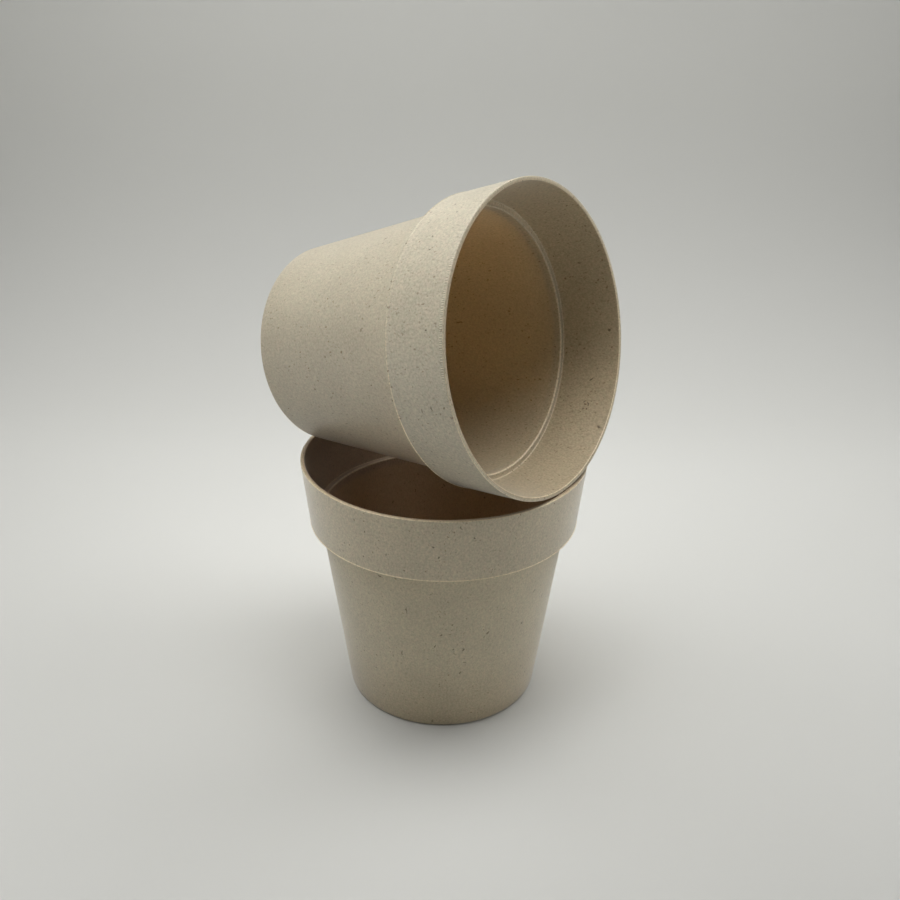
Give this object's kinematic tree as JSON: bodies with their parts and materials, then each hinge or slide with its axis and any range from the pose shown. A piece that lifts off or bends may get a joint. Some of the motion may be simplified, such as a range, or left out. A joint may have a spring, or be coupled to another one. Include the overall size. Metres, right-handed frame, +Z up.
{
  "type": "plant pots",
  "caption": "Speckled plant-fibre pots with turned-out collars, one standing and its loose twin lying across the rim.",
  "frame": {"origin": "centre of the standing pot's foot, on the surface that it stands on", "axes": "+Z up along the standing pot's axis, +X the way the lying pot's mouth points, seen from above"},
  "size_m": [0.1088, 0.0998, 0.1892],
  "materials": {
    "plant_fibre": "satin-matte beige with fine dark and brown plant-fibre flecks"
  },
  "bodies": {
    "standing": {"standing_pot": "plant_fibre"},
    "lying": {"lying_pot": "plant_fibre"}
  },
  "joints": [
    {"name": "lying_pot_lift", "type": "slide", "parent": "standing", "child": "lying", "axis": [0, 0, 1], "range_m": [0, 0.06]}
  ]
}
